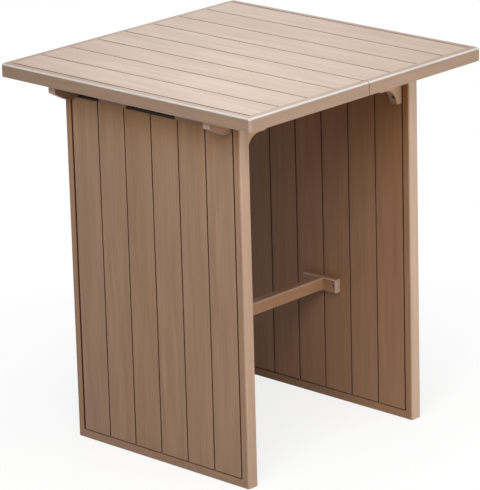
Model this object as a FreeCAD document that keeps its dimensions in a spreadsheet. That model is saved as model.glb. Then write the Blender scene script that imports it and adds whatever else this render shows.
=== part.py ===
"""Outdoor bar table of coated aluminium: a slatted square top on two slatted leg panels.

X runs along the slats of the top, with the front at +X. Y runs from the left leg panel to the right one.
Z is up, and the origin is on the floor under the middle of the top. All lengths are millimetres.
"""

import FreeCAD, Part
import os
import re

# Driving sizes, one line each
SIZES = {
    "table_height": 1067,
    "top_length": 914,
    "top_width": 914,
    # Frame of the top
    "frame_tube_width": 20.5,
    "frame_tube_height": 37,
    "frame_wall": 2,
    "frame_corner_radius": 8,
    "frame_edge_radius": 6.5,
    "frame_seam_gap": 1.6,
    "sleeve_length": 120,
    "sleeve_clearance": 0.2,
    # Slats and battens of the top
    "top_slat_thickness": 20,
    "top_slat_gap": 3,
    "top_frame_gap": 4.5,
    "top_slat_end_gap": 0.3,
    "top_slat_wall": 1.2,
    "top_slat_edge_radius": 1,
    "tube_edge_radius": 1,
    "batten_width": 40,
    "batten_wall": 1.5,
    "batten_end_gap": 0.3,
    # Leg panels
    "panel_length": 644,
    "panel_overhang": 103.5,
    "panel_thickness": 37,
    "panel_wall": 1.5,
    "panel_edge_radius": 2,
    "stile_width": 22.5,
    "stile_edge_radius": 6,
    "stile_rise": 14,
    "bottom_rail_height": 22.5,
    "rail_tongue_inset": 9,
    "top_bar_thickness": 4,
    "top_bar_inset": 4,
    "top_bar_clearance": 0.3,
    "panel_slat_recess": 0.3,
    "panel_slat_gap": 3.5,
    "panel_end_gap": 5,
    "panel_slat_wall": 1.2,
    "panel_slat_edge_radius": 1.5,
    # Supports under the top
    "top_gap": 50,
    "riser_offset": 141,
    "riser_length": 101,
    "riser_wall": 2,
    "beam_setback": 3.5,
    "beam_width": 24,
    "beam_wall": 2,
    "beam_end_gap": 0.5,
    "beam_cap_length": 48,
    "beam_cap_rise": 26,
    "beam_cap_spigot": 15,
    "beam_cap_clearance": 0.2,
    "beam_cap_recess_diameter": 9,
    "beam_cap_recess_depth": 12,
    # Corner braces
    "brace_reach": 90,
    "brace_drop": 66,
    "brace_tip": 20,
    "brace_curve_radius": 46,
    "brace_rib": 4,
    "brace_recess": 3,
    "brace_screw_inset": 19,
    "brace_screw_seat": 16,
    # Stretcher
    "stretcher_height": 344,
    "stretcher_width": 30,
    "stretcher_depth": 36,
    "stretcher_wall": 2,
    "stretcher_edge_radius": 5,
    "tee_length": 120,
    "tee_thickness": 19.5,
    "tee_depth": 39,
    "tee_edge_radius": 3,
    "tee_bolt_inset": 10,
    "tee_counterbore_depth": 6,
    # Fasteners
    "bolt_diameter": 6,
    "bolt_head_diameter": 11,
    "bolt_head_height": 3.3,
    "bolt_socket_diameter": 4,
    "bolt_socket_depth": 1.8,
    "bolt_hole_clearance": 0.2,
    "bolt_grip": 12,
    "bolt_head_clearance": 0.5,
    # Foot glides
    "glide_inset": 29.5,
    "glide_height": 1,
    "glide_diameter": 18,
    "glide_stem_diameter": 8,
    "glide_stem_length": 12,
    "glide_stem_clearance": 0.2,
}

TOP_SLATS_PER_HALF = 4
PANEL_SLATS = 6

# Heights and widths that follow from the driving sizes, as formulas
TOP_SLATS = 2 * TOP_SLATS_PER_HALF
FRAME_UNDERSIDE = "(table_height - frame_tube_height)"
SLAT_UNDERSIDE = "(table_height - top_slat_thickness)"
FRAME_INNER_LENGTH = "(top_length - 2 * frame_tube_width)"
FRAME_INNER_WIDTH = "(top_width - 2 * frame_tube_width)"
TOP_SLAT_GAPS = f"(2 * top_frame_gap + {TOP_SLATS - 1} * top_slat_gap)"
TOP_SLAT_WIDTH = f"(({FRAME_INNER_WIDTH} - {TOP_SLAT_GAPS}) / {TOP_SLATS})"
TOP_SLAT_PITCH = f"({TOP_SLAT_WIDTH} + top_slat_gap)"
BATTEN_HEIGHT = "(frame_tube_height - top_slat_thickness)"
PANEL_TOP = f"({FRAME_UNDERSIDE} - top_gap)"
PANEL_HEIGHT = f"({PANEL_TOP} - glide_height)"
PANEL_INNER_LENGTH = "(panel_length - 2 * stile_width)"
PANEL_OUTER_FACE = "(top_width / 2 - panel_overhang)"
PANEL_MIDDLE = f"({PANEL_OUTER_FACE} - panel_thickness / 2)"
PANEL_GAPS = f"(2 * panel_end_gap + {PANEL_SLATS - 1} * panel_slat_gap)"
PANEL_SLAT_WIDTH = f"(({PANEL_INNER_LENGTH} - {PANEL_GAPS}) / {PANEL_SLATS})"
PANEL_SLAT_PITCH = f"({PANEL_SLAT_WIDTH} + panel_slat_gap)"
PANEL_SLAT_THICKNESS = "(panel_thickness - 2 * panel_slat_recess)"
PANEL_SLAT_HEIGHT = f"({PANEL_HEIGHT} - bottom_rail_height - panel_slat_gap)"
PANEL_SLAT_FOOT = "(glide_height + bottom_rail_height + panel_slat_gap)"
STILE_HEIGHT = f"({PANEL_HEIGHT} + stile_rise)"
PANEL_SLAT_FACE = f"({PANEL_OUTER_FACE} - panel_thickness + panel_slat_recess)"
TOP_BAR_WIDTH = "(panel_thickness - 2 * top_bar_inset)"
TOP_BAR_SLOT_WIDTH = f"({TOP_BAR_WIDTH} + 2 * top_bar_clearance)"
BEAM_OFFSET = f"({PANEL_INNER_LENGTH} / 2 - beam_setback - beam_width / 2)"
BEAM_HEIGHT = f"({SLAT_UNDERSIDE} - {PANEL_TOP})"
BEAM_REACH = f"({FRAME_INNER_WIDTH} / 2 - beam_end_gap)"
BEAM_TUBE_LENGTH = f"(2 * ({BEAM_REACH} - beam_cap_length))"
BRACE_CENTRE = "(brace_tip + brace_curve_radius)"
BRACE_SCREW_OFFSET = "(brace_drop - brace_screw_inset)"
TEE_BOLT_OFFSET = "(tee_length / 2 - tee_bolt_inset)"
GLIDE_OFFSET = f"({PANEL_INNER_LENGTH} / 2 - glide_inset)"
FRAME_BORE_WIDTH = "(frame_tube_width - 2 * frame_wall)"
FRAME_BORE_HEIGHT = "(frame_tube_height - frame_wall - frame_edge_radius)"
BOLT_HOLE_RADIUS = "(bolt_diameter / 2 + bolt_hole_clearance)"
BOLT_HEAD_HOLE_RADIUS = "(bolt_head_diameter / 2 + bolt_head_clearance)"

ALONG_X = FreeCAD.Rotation(FreeCAD.Vector(0, 1, 0), 90)
ALONG_Y = FreeCAD.Rotation(FreeCAD.Vector(1, 0, 0), -90)
ALONG_MINUS_Y = FreeCAD.Rotation(FreeCAD.Vector(1, 0, 0), 90)
ALONG_Z = FreeCAD.Rotation()
ALONG_MINUS_Z = FreeCAD.Rotation(FreeCAD.Vector(1, 0, 0), 180)
HALF_TURN = FreeCAD.Rotation(FreeCAD.Vector(0, 0, 1), 180)
SAME_PLACE = 1e-4

# The left side is built as it stands, and the right side is the same piece after a half turn about Z
SIDES = {"left": -1, "right": 1}
ENDS = {"front": 1, "rear": -1}

doc = FreeCAD.newDocument("OutdoorBarTable")
sheet = doc.addObject("Spreadsheet::Sheet", "Sizes")
nodes = []


def fill_sheet():
    """Writes each driving size to a cell of its own, with its name as the alias."""
    for row, (alias, value) in enumerate(SIZES.items(), start=1):
        sheet.set(f"A{row}", alias)
        sheet.set(f"B{row}", str(value))
        sheet.setAlias(f"B{row}", alias)
    doc.recompute()


def bind(item, field, formula):
    """Ties one property to the sheet, with the sizes in the formula given by their aliases."""
    def cell(match):
        word = match.group()
        return f"Sizes.{word}" if word in SIZES else word
    item.setExpression(field, re.sub(r"[a-z][a-z_]*", cell, str(formula)))


def bind_all(item, fields, formulas):
    for field, formula in zip(fields, formulas):
        bind(item, field, formula)


def place(item, corner, turn=ALONG_Z):
    """Sets an object's turn, and ties its position to formulas for X, Y and Z."""
    item.Placement = FreeCAD.Placement(FreeCAD.Vector(), turn)
    bind_all(item, [f"Placement.Base.{axis}" for axis in "xyz"], corner)


def new_body(label):
    body = doc.addObject("PartDesign::Body", label)
    body.Label = label
    nodes.append(body)
    return body


def add_box(body, name, size, corner, kind="Additive"):
    """A box in a body, from formulas for its X, Y and Z sizes and its lowest corner."""
    box = body.newObject(f"PartDesign::{kind}Box", name)
    bind_all(box, ("Length", "Width", "Height"), size)
    place(box, corner)
    return box


def cut_box(body, name, size, corner):
    return add_box(body, name, size, corner, "Subtractive")


def cut_round(body, name, radius, length, start, turn):
    """A round hole in a body, from its start along the turned Z axis."""
    hole = body.newObject("PartDesign::SubtractiveCylinder", name)
    bind_all(hole, ("Radius", "Height"), (radius, length))
    place(hole, start, turn)
    return hole


def edge_names(shape, along, **sides):
    """Names the edges that run along one axis and lie on the given sides of the shape's box."""
    box = shape.BoundBox
    found = []
    for number, edge in enumerate(shape.Edges, start=1):
        span = edge.BoundBox
        across = [axis for axis in "XYZ" if axis != along]
        runs_along = all(getattr(span, f"{axis}Length") < SAME_PLACE for axis in across)
        on_sides = all(
            abs(getattr(span.Center, axis) - getattr(box, axis.upper() + limit)) < SAME_PLACE
            for axis, limit in sides.items()
        )
        if runs_along and on_sides:
            found.append(f"Edge{number}")
    return found


def round_edges(body, name, base, names, radius):
    rounding = body.newObject("PartDesign::Fillet", name)
    rounding.Base = (base, names)
    bind(rounding, "Radius", radius)
    return rounding


def solid_of(base):
    """The shape of a feature, worked out now so that its edges can be picked."""
    doc.recompute()
    return base.Shape


def hollow_bar(label, along, size, wall, radius):
    """A body with an open rectangular tube, centred on X and Y, standing on its local Z of 0."""
    body = new_body(label)
    corner = [f"-({size[0]}) / 2", f"-({size[1]}) / 2", "0"]
    blank = add_box(body, "Blank", size, corner)
    round_edges(body, "Rounding", blank, edge_names(solid_of(blank), along), radius)
    core_size = [f"{length} - 2 * {wall}" for length in size]
    core_corner = [f"{start} + {wall}" for start in corner]
    through = "XYZ".index(along)
    core_size[through] = size[through]
    core_corner[through] = corner[through]
    cut_box(body, "Core", core_size, core_corner)
    return body


def make_top_frame(side, sign):
    """One U-shaped half of the top's frame, hollow, with its open ends at the seam."""
    body = new_body(f"top_frame_{side}")
    outer = "-top_width / 2"
    reach = "(top_width / 2 - frame_seam_gap / 2)"
    blank = add_box(
        body, "Blank",
        ("top_length", reach, "frame_tube_height"),
        ("-top_length / 2", outer, "0"),
    )
    corners = edge_names(solid_of(blank), "Z", y="Min")
    rounded = round_edges(body, "Corners", blank, corners, "frame_corner_radius")
    top_edges = edge_names(solid_of(rounded), "X", y="Min", z="Max")
    round_edges(body, "TopEdge", rounded, top_edges, "frame_edge_radius")
    inner_reach = f"({reach} - frame_tube_width)"
    cut_box(
        body, "Opening",
        (FRAME_INNER_LENGTH, inner_reach, "frame_tube_height"),
        (f"-{FRAME_INNER_LENGTH} / 2", f"{outer} + frame_tube_width", "0"),
    )
    cut_box(
        body, "SideBore",
        ("top_length - 2 * frame_corner_radius", FRAME_BORE_WIDTH, FRAME_BORE_HEIGHT),
        ("-top_length / 2 + frame_corner_radius", f"{outer} + frame_wall", "frame_wall"),
    )
    for end, end_sign in ENDS.items():
        middle = f"{end_sign} * (top_length / 2 - frame_tube_width / 2)"
        cut_box(
            body, f"{end.title()}Bore",
            (FRAME_BORE_WIDTH, f"{reach} - frame_corner_radius", FRAME_BORE_HEIGHT),
            (f"{middle} - {FRAME_BORE_WIDTH} / 2", f"{outer} + frame_corner_radius", "frame_wall"),
        )
    place(body, ("0", "0", FRAME_UNDERSIDE), HALF_TURN if sign > 0 else ALONG_Z)


def make_group(label, solids):
    """Several separate solids that share one node."""
    group = doc.addObject("Part::Compound", label)
    group.Label = label
    group.Links = solids
    nodes.append(group)
    return group


def make_sleeves():
    """Bars inside the frame tubes that hold the two halves in line across the seam."""
    width = f"({FRAME_BORE_WIDTH} - 2 * sleeve_clearance)"
    height = f"({FRAME_BORE_HEIGHT} - 2 * sleeve_clearance)"
    bars = []
    for end, sign in ENDS.items():
        bar = doc.addObject("Part::Box", f"{end}_sleeve_bar")
        bind_all(bar, ("Length", "Width", "Height"), (width, "sleeve_length", height))
        place(bar, (
            f"{sign} * (top_length / 2 - frame_tube_width / 2) - {width} / 2",
            "-sleeve_length / 2",
            f"{FRAME_UNDERSIDE} + frame_wall + sleeve_clearance",
        ))
        bars.append(bar)
    make_group("frame_joint_sleeves", bars)


def top_slat_middle(number):
    """The Y of a top slat's middle line, counted from 1 at the left."""
    return f"({number - (TOP_SLATS + 1) / 2}) * {TOP_SLAT_PITCH}"


def bolted_slats():
    """The top slats that a bolt holds to each beam: the inner two of each half."""
    middle = TOP_SLATS_PER_HALF
    return [middle - 1, middle, middle + 1, middle + 2]


def make_top_slat(number):
    size = (f"({FRAME_INNER_LENGTH} - 2 * top_slat_end_gap)", TOP_SLAT_WIDTH, "top_slat_thickness")
    body = hollow_bar(f"top_slat_{number}", "X", size, "top_slat_wall", "top_slat_edge_radius")
    if number in bolted_slats():
        for end, sign in ENDS.items():
            start = (f"{sign} * {BEAM_OFFSET}", "0", "0")
            cut_round(body, f"{end.title()}Bolt", BOLT_HOLE_RADIUS, "top_slat_wall", start, ALONG_Z)
    place(body, ("0", top_slat_middle(number), SLAT_UNDERSIDE))


def make_batten(side, sign, end, end_sign):
    """A flat tube across the slats of one half, standing on a riser."""
    length = f"({FRAME_INNER_WIDTH} / 2 - frame_seam_gap / 2 - batten_end_gap)"
    size = ("batten_width", length, BATTEN_HEIGHT)
    body = hollow_bar(f"batten_{side}_{end}", "Y", size, "batten_wall", "tube_edge_radius")
    middle = f"{sign} * (frame_seam_gap / 2 + {length} / 2)"
    place(body, (f"{end_sign} * riser_offset", middle, FRAME_UNDERSIDE))


def make_riser(side, sign, end, end_sign):
    """A short tube that carries a batten on the top of a leg panel, notched over the top bar."""
    size = ("riser_length", "panel_thickness", "top_gap")
    body = hollow_bar(f"riser_{side}_{end}", "Z", size, "riser_wall", "tube_edge_radius")
    cut_box(
        body, "BarSlot",
        ("riser_length", TOP_BAR_SLOT_WIDTH, "top_bar_thickness"),
        ("-riser_length / 2", f"-{TOP_BAR_SLOT_WIDTH} / 2", "0"),
    )
    place(body, (f"{end_sign} * riser_offset", f"{sign} * {PANEL_MIDDLE}", PANEL_TOP))


def make_beam(end, sign):
    """A cross beam under the slats, notched over both leg panels and drilled for its bolts and screws."""
    size = ("beam_width", BEAM_TUBE_LENGTH, BEAM_HEIGHT)
    body = hollow_bar(f"support_beam_{end}", "Y", size, "beam_wall", "tube_edge_radius")
    for number in bolted_slats():
        start = ("0", top_slat_middle(number), "0")
        cut_round(body, f"TopBolt{number}", BOLT_HOLE_RADIUS, BEAM_HEIGHT, start, ALONG_Z)
    for side, side_sign in SIDES.items():
        start = ("0", f"{side_sign} * ({PANEL_SLAT_FACE} - {BRACE_SCREW_OFFSET})", "0")
        cut_round(body, f"{side.title()}Screw", BOLT_HOLE_RADIUS, "beam_wall", start, ALONG_Z)
        cut_box(
            body, f"{side.title()}BarSlot",
            ("beam_width", TOP_BAR_SLOT_WIDTH, "top_bar_thickness"),
            ("-beam_width / 2", f"{side_sign} * {PANEL_MIDDLE} - {TOP_BAR_SLOT_WIDTH} / 2", "0"),
        )
    place(body, (f"{sign} * {BEAM_OFFSET}", "0", PANEL_TOP))


def make_beam_cap(end, side, sign):
    """The tapered end of a beam, with a spigot that fits the tube and a round recess in its face."""
    body = doc.addObject("PartDesign::Body", f"beam_cap_{end}_{side}")
    nose = body.newObject("PartDesign::AdditiveWedge", "Nose")
    half = "beam_width / 2"
    bind_all(nose, ("Xmin", "Xmax", "X2min", "X2max"), (f"-{half}", half, f"-{half}", half))
    bind_all(nose, ("Ymin", "Ymax"), ("0", "beam_cap_length"))
    bind_all(nose, ("Zmin", "Zmax"), ("0", BEAM_HEIGHT))
    bind_all(nose, ("Z2min", "Z2max"), ("beam_cap_rise", BEAM_HEIGHT))
    margin = "(beam_wall + beam_cap_clearance)"
    add_box(
        body, "Spigot",
        (f"beam_width - 2 * {margin}", "beam_cap_spigot", f"{BEAM_HEIGHT} - 2 * {margin}"),
        (f"-beam_width / 2 + {margin}", "-beam_cap_spigot", margin),
    )
    start = ("0", "beam_cap_length - beam_cap_recess_depth", f"(beam_cap_rise + {BEAM_HEIGHT}) / 2")
    cut_round(body, "Recess", "beam_cap_recess_diameter / 2", "beam_cap_recess_depth", start, ALONG_Y)
    joint = f"{sign} * {BEAM_TUBE_LENGTH} / 2"
    turn = ALONG_Z if sign > 0 else HALF_TURN
    place(body, (f"{ENDS[end]} * {BEAM_OFFSET}", joint, PANEL_TOP), turn)
    return body


def make_beam_caps(end):
    caps = [make_beam_cap(end, side, sign) for side, sign in SIDES.items()]
    make_group(f"beam_end_caps_{end}", caps)


def hollow_brace(body, name, width, depth):
    """Cuts a brace's quarter-round hollow and the level run beyond it, this wide and this much deeper."""
    side = f"-{width} / 2"
    start = (side, BRACE_CENTRE, f"-{BRACE_CENTRE}")
    cut_round(body, f"{name}Curve", f"brace_curve_radius + {depth}", width, start, ALONG_X)
    cut_box(
        body, f"{name}Run",
        (width, f"brace_reach - {BRACE_CENTRE}", f"brace_drop - brace_tip + {depth}"),
        (side, BRACE_CENTRE, "-brace_drop"),
    )


def make_brace(side, sign, end, end_sign):
    """A corner brace whose hollow face has a shallow channel between two ribs.

    Its local Y runs from the panel's slat face to the middle of the table, and Z runs down from the beam.
    """
    body = new_body(f"brace_{side}_{end}")
    add_box(
        body, "Blank",
        ("beam_width", "brace_reach", "brace_drop"),
        ("-beam_width / 2", "0", "-brace_drop"),
    )
    hollow_brace(body, "Face", "beam_width", "0")
    hollow_brace(body, "Channel", "(beam_width - 2 * brace_rib)", "brace_recess")
    lower = ("0", "0", f"-{BRACE_SCREW_OFFSET}")
    upper = ("0", BRACE_SCREW_OFFSET, "-brace_drop")
    cut_round(body, "PanelScrew", BOLT_HOLE_RADIUS, "brace_drop", lower, ALONG_Y)
    cut_round(body, "BeamScrew", BOLT_HOLE_RADIUS, "brace_drop", upper, ALONG_Z)
    head_room = "(brace_drop - brace_screw_seat)"
    lower_seat = ("0", "brace_screw_seat", f"-{BRACE_SCREW_OFFSET}")
    cut_round(body, "PanelSeat", BOLT_HEAD_HOLE_RADIUS, head_room, lower_seat, ALONG_Y)
    cut_round(body, "BeamSeat", BOLT_HEAD_HOLE_RADIUS, head_room, upper, ALONG_Z)
    place(
        body,
        (f"{end_sign} * {BEAM_OFFSET}", f"{sign} * {PANEL_SLAT_FACE}", PANEL_TOP),
        HALF_TURN if sign > 0 else ALONG_Z,
    )


def make_stile(side, sign, end, end_sign):
    """An upright tube of a leg panel that rises past the slats, with its outer and foot edges rounded."""
    body = new_body(f"{side}_stile_{end}")
    size = ("stile_width", "panel_thickness", STILE_HEIGHT)
    blank = add_box(body, "Blank", size, ("-stile_width / 2", "-panel_thickness / 2", "0"))
    names = edge_names(solid_of(blank), "Z", x="Max")
    rounded = round_edges(body, "OuterEdges", blank, names, "stile_edge_radius")
    names = edge_names(solid_of(rounded), "X", z="Min")
    round_edges(body, "FootEdges", rounded, names, "panel_edge_radius")
    cut_box(
        body, "Core",
        (
            "stile_width - panel_wall - stile_edge_radius",
            "panel_thickness - 2 * panel_wall",
            f"{STILE_HEIGHT} - panel_edge_radius",
        ),
        ("-stile_width / 2 + panel_wall", "-panel_thickness / 2 + panel_wall", "panel_edge_radius"),
    )
    place(
        body,
        (f"{end_sign} * (panel_length - stile_width) / 2", f"{sign} * {PANEL_MIDDLE}", "glide_height"),
        ALONG_Z if end_sign > 0 else HALF_TURN,
    )


def make_bottom_rail(side, sign):
    """The foot of a leg panel, a tube between the stiles with a tongue along it that the slats stand on."""
    body = new_body(f"{side}_bottom_rail")
    half_length = f"{PANEL_INNER_LENGTH} / 2"
    size = (PANEL_INNER_LENGTH, "panel_thickness", "bottom_rail_height")
    blank = add_box(body, "Blank", size, (f"-{half_length}", "-panel_thickness / 2", "0"))
    names = edge_names(solid_of(blank), "X", z="Min")
    round_edges(body, "Rounding", blank, names, "panel_edge_radius")
    cut_box(
        body, "Core",
        (
            PANEL_INNER_LENGTH,
            "panel_thickness - 2 * panel_wall",
            "bottom_rail_height - panel_wall - panel_edge_radius",
        ),
        (f"-{half_length}", "-panel_thickness / 2 + panel_wall", "panel_edge_radius"),
    )
    tongue_width = "(panel_thickness - 2 * rail_tongue_inset)"
    add_box(
        body, "Tongue",
        (PANEL_INNER_LENGTH, tongue_width, "panel_slat_gap"),
        (f"-{half_length}", f"-{tongue_width} / 2", "bottom_rail_height"),
    )
    hole = "glide_stem_diameter / 2 + glide_stem_clearance"
    for end, end_sign in ENDS.items():
        start = (f"{end_sign} * {GLIDE_OFFSET}", "0", "0")
        cut_round(body, f"{end.title()}Glide", hole, "panel_edge_radius", start, ALONG_Z)
    place(body, ("0", f"{sign} * {PANEL_MIDDLE}", "glide_height"))


def make_top_bar(side, sign):
    """The flat bar along the slat tops of a panel, between the stiles."""
    body = new_body(f"{side}_top_bar")
    size = (PANEL_INNER_LENGTH, TOP_BAR_WIDTH, "top_bar_thickness")
    add_box(body, "Bar", size, (f"-{PANEL_INNER_LENGTH} / 2", f"-{TOP_BAR_WIDTH} / 2", "0"))
    place(body, ("0", f"{sign} * {PANEL_MIDDLE}", PANEL_TOP))


def make_panel_slat(side, sign, number):
    """An upright hollow slat, drilled in its inner wall where a brace or the stretcher is bolted on."""
    size = (PANEL_SLAT_WIDTH, PANEL_SLAT_THICKNESS, PANEL_SLAT_HEIGHT)
    body = hollow_bar(f"{side}_slat_{number}", "Z", size, "panel_slat_wall", "panel_slat_edge_radius")
    middle = f"({number - (PANEL_SLATS + 1) / 2}) * {PANEL_SLAT_PITCH}"
    turned = sign > 0
    hole_start = f"{PANEL_SLAT_THICKNESS} / 2 - panel_slat_wall"
    towards = 1 if number > PANEL_SLATS / 2 else -1
    local = -1 if turned else 1
    fixings = {
        1: (BEAM_OFFSET, f"{PANEL_TOP} - {BRACE_SCREW_OFFSET}"),
        PANEL_SLATS: (BEAM_OFFSET, f"{PANEL_TOP} - {BRACE_SCREW_OFFSET}"),
        PANEL_SLATS // 2: (TEE_BOLT_OFFSET, "stretcher_height"),
        PANEL_SLATS // 2 + 1: (TEE_BOLT_OFFSET, "stretcher_height"),
    }
    if number in fixings:
        offset, height = fixings[number]
        start = (
            f"{local} * ({towards} * {offset} - {middle})",
            hole_start,
            f"{height} - {PANEL_SLAT_FOOT}",
        )
        cut_round(body, "FixingHole", BOLT_HOLE_RADIUS, "panel_slat_wall", start, ALONG_Y)
    place(
        body,
        (middle, f"{sign} * {PANEL_MIDDLE}", PANEL_SLAT_FOOT),
        HALF_TURN if turned else ALONG_Z,
    )


def make_glides(side, sign):
    """Two foot glides pressed into the bottom rail, which carry the table."""
    glides = []
    for end, end_sign in ENDS.items():
        glide = doc.addObject("PartDesign::Body", f"{side}_{end}_glide")
        pad = glide.newObject("PartDesign::AdditiveCylinder", "Foot")
        bind_all(pad, ("Radius", "Height"), ("glide_diameter / 2", "glide_height"))
        stem = glide.newObject("PartDesign::AdditiveCylinder", "Stem")
        bind_all(stem, ("Radius", "Height"), ("glide_stem_diameter / 2", "glide_stem_length"))
        place(stem, ("0", "0", "glide_height"))
        place(glide, (f"{end_sign} * {GLIDE_OFFSET}", f"{sign} * {PANEL_MIDDLE}", "0"))
        glides.append(glide)
    make_group(f"{side}_foot_glides", glides)


def make_stretcher():
    """The low tube between the two end blocks."""
    length = f"(2 * ({PANEL_SLAT_FACE} - tee_thickness))"
    size = ("stretcher_width", length, "stretcher_depth")
    body = hollow_bar("stretcher", "Y", size, "stretcher_wall", "stretcher_edge_radius")
    place(body, ("0", "0", "stretcher_height - stretcher_depth / 2"))


def make_tee(side, sign):
    """The block across an end of the stretcher, counterbored for its two bolts."""
    body = new_body(f"stretcher_tee_{side}")
    size = ("tee_length", "tee_thickness", "tee_depth")
    blank = add_box(body, "Blank", size, ("-tee_length / 2", "0", "-tee_depth / 2"))
    shape = solid_of(blank)
    names = edge_names(shape, "X", y="Max") + edge_names(shape, "Z", y="Max")
    round_edges(body, "Rounding", blank, names, "tee_edge_radius")
    seat = "tee_thickness - tee_counterbore_depth"
    for end, end_sign in ENDS.items():
        offset = f"{end_sign} * {TEE_BOLT_OFFSET}"
        cut_round(body, f"{end.title()}Hole", BOLT_HOLE_RADIUS, "tee_thickness", (offset, "0", "0"), ALONG_Y)
        start = (offset, seat, "0")
        cut_round(
            body, f"{end.title()}Counterbore",
            BOLT_HEAD_HOLE_RADIUS, "tee_counterbore_depth", start, ALONG_Y,
        )
    place(
        body,
        ("0", f"{sign} * {PANEL_SLAT_FACE}", "stretcher_height"),
        HALF_TURN if sign > 0 else ALONG_Z,
    )


def make_bolt(name, shank, seat, turn):
    """A round-headed socket bolt. Its shank runs back from the seat, and its head stands on the seat."""
    bolt = doc.addObject("PartDesign::Body", name)
    head = bolt.newObject("PartDesign::AdditiveCylinder", "Head")
    bind_all(head, ("Radius", "Height"), ("bolt_head_diameter / 2", "bolt_head_height"))
    stem = bolt.newObject("PartDesign::AdditiveCylinder", "Shank")
    bind_all(stem, ("Radius", "Height"), ("bolt_diameter / 2", shank))
    place(stem, ("0", "0", f"-({shank})"))
    start = ("0", "0", "bolt_head_height - bolt_socket_depth")
    cut_round(bolt, "Socket", "bolt_socket_diameter / 2", "bolt_socket_depth", start, ALONG_Z)
    place(bolt, seat, turn)
    return bolt


def make_stretcher_bolts():
    bolts = []
    for side, sign in SIDES.items():
        seat = f"{PANEL_SLAT_FACE} - tee_thickness + tee_counterbore_depth"
        for end, end_sign in ENDS.items():
            bolts.append(make_bolt(
                f"{side}_{end}_stretcher_bolt",
                "tee_thickness - tee_counterbore_depth + bolt_grip",
                (f"{end_sign} * {TEE_BOLT_OFFSET}", f"{sign} * ({seat})", "stretcher_height"),
                ALONG_MINUS_Y if sign > 0 else ALONG_Y,
            ))
    make_group("stretcher_bolts", bolts)


def make_brace_screws():
    """At each brace, one screw into the panel's slat and one up into the beam."""
    screws = []
    shank = "brace_screw_seat + bolt_grip"
    for side, sign in SIDES.items():
        for end, end_sign in ENDS.items():
            middle = f"{end_sign} * {BEAM_OFFSET}"
            panel_seat = f"{sign} * ({PANEL_SLAT_FACE} - brace_screw_seat)"
            beam_seat = f"{sign} * ({PANEL_SLAT_FACE} - {BRACE_SCREW_OFFSET})"
            screws.append(make_bolt(
                f"{side}_{end}_panel_screw", shank,
                (middle, panel_seat, f"{PANEL_TOP} - {BRACE_SCREW_OFFSET}"),
                ALONG_MINUS_Y if sign > 0 else ALONG_Y,
            ))
            screws.append(make_bolt(
                f"{side}_{end}_beam_screw", shank,
                (middle, beam_seat, f"{PANEL_TOP} - brace_screw_seat"),
                ALONG_MINUS_Z,
            ))
    make_group("brace_screws", screws)


def make_top_bolts():
    """Long bolts up through the beams into the slats."""
    bolts = []
    for end, sign in ENDS.items():
        for number in bolted_slats():
            bolts.append(make_bolt(
                f"{end}_top_bolt_{number}", f"{BEAM_HEIGHT} + bolt_grip",
                (f"{sign} * {BEAM_OFFSET}", top_slat_middle(number), PANEL_TOP),
                ALONG_MINUS_Z,
            ))
    make_group("top_bolts", bolts)


def make_top():
    for side, sign in SIDES.items():
        make_top_frame(side, sign)
        for end, end_sign in ENDS.items():
            make_batten(side, sign, end, end_sign)
    make_sleeves()
    for number in range(1, TOP_SLATS + 1):
        make_top_slat(number)


def make_supports():
    for end, end_sign in ENDS.items():
        make_beam(end, end_sign)
        make_beam_caps(end)
        for side, sign in SIDES.items():
            make_riser(side, sign, end, end_sign)
            make_brace(side, sign, end, end_sign)


def make_leg_panel(side, sign):
    for end, end_sign in ENDS.items():
        make_stile(side, sign, end, end_sign)
    make_bottom_rail(side, sign)
    make_top_bar(side, sign)
    for number in range(1, PANEL_SLATS + 1):
        make_panel_slat(side, sign, number)
    make_glides(side, sign)


def check_document():
    """Stops if any object failed, or if a sub-part has no sound shape."""
    for item in doc.Objects:
        if "Invalid" in item.State or "Error" in item.State:
            raise RuntimeError(f"{item.Label} failed: {item.State}")
    for node in nodes:
        if node.Shape.isNull() or not node.Shape.isValid():
            raise RuntimeError(f"{node.Label} has no valid shape")


def write_parts():
    os.makedirs("parts", exist_ok=True)
    for node in nodes:
        node.Shape.exportStep(f"parts/{node.Label}.step")


fill_sheet()
make_top()
make_supports()
for panel_side, panel_sign in SIDES.items():
    make_leg_panel(panel_side, panel_sign)
    make_tee(panel_side, panel_sign)
make_stretcher()
make_stretcher_bolts()
make_brace_screws()
make_top_bolts()
doc.recompute()
check_document()
write_parts()
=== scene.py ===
"""Dresses an outdoor bar table: brushed wood-grain coats, turned hardware, soft studio light and the camera.

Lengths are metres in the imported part's own frame. X runs along the slats of the top, with the front at +X,
Y runs from the left leg panel to the right one, and Z is up from the floor.
"""

import math

import bmesh
import bpy
from bpy.props import FloatProperty, FloatVectorProperty, PointerProperty
from mathutils import Matrix, Vector


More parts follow.
